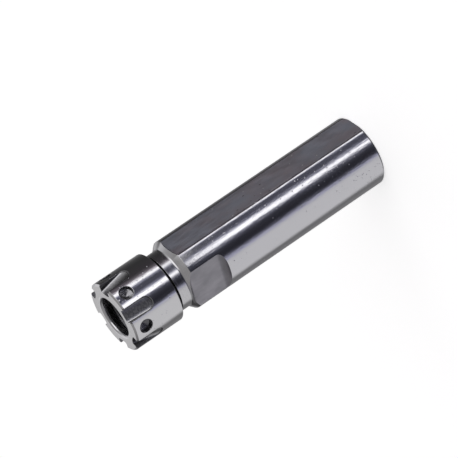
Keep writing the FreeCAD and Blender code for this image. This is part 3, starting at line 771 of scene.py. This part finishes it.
low_ring = [
    (-180, 0.30, plain), (-164, 0.26, plain), (-150, 0.23, plain), (-129, 0.20, plain), (-122, 0.30, plain),
    (-115, 0.66, plain), (-109, 0.74, plain), (-56, 0.74, plain), (-50, 0.66, plain), (-44, 0.54, cool),
    (-38, 0.15, cool), (-33, 0.04, cool), (-22, 0.028, cool), (-12, 0.045, cool), (-4, 0.10, cool),
    (1, 0.24, cool), (7, 1.9, plain), (12, 1.9, plain), (18, 0.36, cool), (25, 0.10, cool), (39, 0.09, cool),
    (45, 0.36, cool),
    (50, 1.6, plain), (56, 1.6, plain), (60, 0.45, violet), (66, 0.16, violet), (76, 0.05, violet),
    (116, 0.045, plain), (134, 0.07, plain), (148, 0.12, plain), (164, 0.26, plain), (180, 0.30, plain)]
middle_ring = [
    (-180, 0.60, plain), (-168, 0.45, plain), (-158, 0.08, plain), (-128, 0.04, plain), (-114, 0.25, plain),
    (-98, 0.45, plain), (-84, 0.35, plain), (-66, 0.12, cool), (-45, 0.09, cool), (-30, 0.04, cool),
    (-8, 0.035, cool), (2, 0.06, cool), (12, 0.18, cool), (24, 0.45, plain), (36, 0.95, plain),
    (48, 1.2, plain), (58, 0.80, plain), (70, 0.50, plain), (80, 0.40, plain), (92, 0.20, plain),
    (104, 0.06, plain), (138, 0.04, plain), (148, 0.45, plain), (160, 0.60, plain), (180, 0.60, plain)]
high_ring = [
    (-180, 0.82, plain), (-165, 0.80, plain), (-150, 0.30, plain), (-136, 0.12, plain), (-118, 0.20, plain),
    (-100, 0.30, plain), (-60, 0.35, plain), (8, 0.28, plain), (18, 1.5, plain), (66, 1.5, plain),
    (76, 0.6, plain), (110, 0.45, plain), (130, 0.70, plain), (150, 0.80, plain), (180, 0.82, plain)]
world = bpy.data.worlds.new("studio")
bpy.context.scene.world = world
world.use_nodes = True
tree = world.node_tree
background = tree.nodes["Background"]
direction = tree.nodes.new("ShaderNodeTexCoord").outputs["Generated"]
turned_by = tree.nodes.new("ShaderNodeVectorRotate")
turned_by.rotation_type = "Z_AXIS"
turned_by.inputs["Angle"].default_value = radians(-camera_azimuth)
tree.links.new(direction, turned_by.inputs["Vector"])
seen = tree.nodes.new("ShaderNodeSeparateXYZ")
tree.links.new(turned_by.outputs[0], seen.inputs[0])
angle = math_node(tree, "ARCTAN2", seen.outputs["Y"], seen.outputs["X"])
turn_share = math_node(tree, "ADD", math_node(tree, "DIVIDE", angle, 2 * pi), 0.5)


def ring_of_light(strips):
    """The strips of one ring, each blended into the next round the object."""
    ring = tree.nodes.new("ShaderNodeValToRGB")
    tree.links.new(turn_share, ring.inputs["Fac"])
    stops = ring.color_ramp.elements
    for index, (way, light, tone) in enumerate(strips):
        position = way / 360 + 0.5
        stop = stops[index] if index < 2 else stops.new(position)
        stop.position = position
        stop.color = (light * tone[0], light * tone[1], light * tone[2], 1)
    return ring.outputs["Color"]


# From the dark underside up, each layer begins at one height of the direction and is full at the next. The
# camera itself sees a plain pale backdrop.
underside, ceiling, backdrop = (0.08, 0.08, 0.09), (0.36, 0.35, 0.35), (0.97, 0.97, 0.97)
layers = [(-0.74, -0.62, ring_of_light(low_ring)), (-0.14, -0.08, ring_of_light(middle_ring)),
          (0.24, 0.30, ring_of_light(high_ring)), (0.55, 0.85, ceiling)]
light = underside
for begins, full, above in layers:
    light = mix_colours(tree, spread(tree, seen.outputs["Z"], 0.0, 1.0, begins, full), light, above)
by_camera = tree.nodes.new("ShaderNodeLightPath").outputs["Is Camera Ray"]
tree.links.new(mix_colours(tree, by_camera, light, backdrop), background.inputs["Color"])

# Camera: where the photograph was taken from, worked out from the object's own circles and lines. The lens is
# long, so the shank hardly narrows towards the rear.
camera_data = bpy.data.cameras.new("photo_camera")
camera_data.lens = 238.4
camera_data.sensor_width = 36
camera_data.clip_start = 0.01
camera = bpy.data.objects.new("photo_camera", camera_data)
camera.location = (-0.42170, -0.40811, 0.24557)
camera.rotation_euler = (radians(-57.328), radians(51.102), radians(160.412))
bpy.context.collection.objects.link(camera)
bpy.context.scene.camera = camera
bpy.context.scene.view_settings.view_transform = "Standard"

low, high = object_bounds()
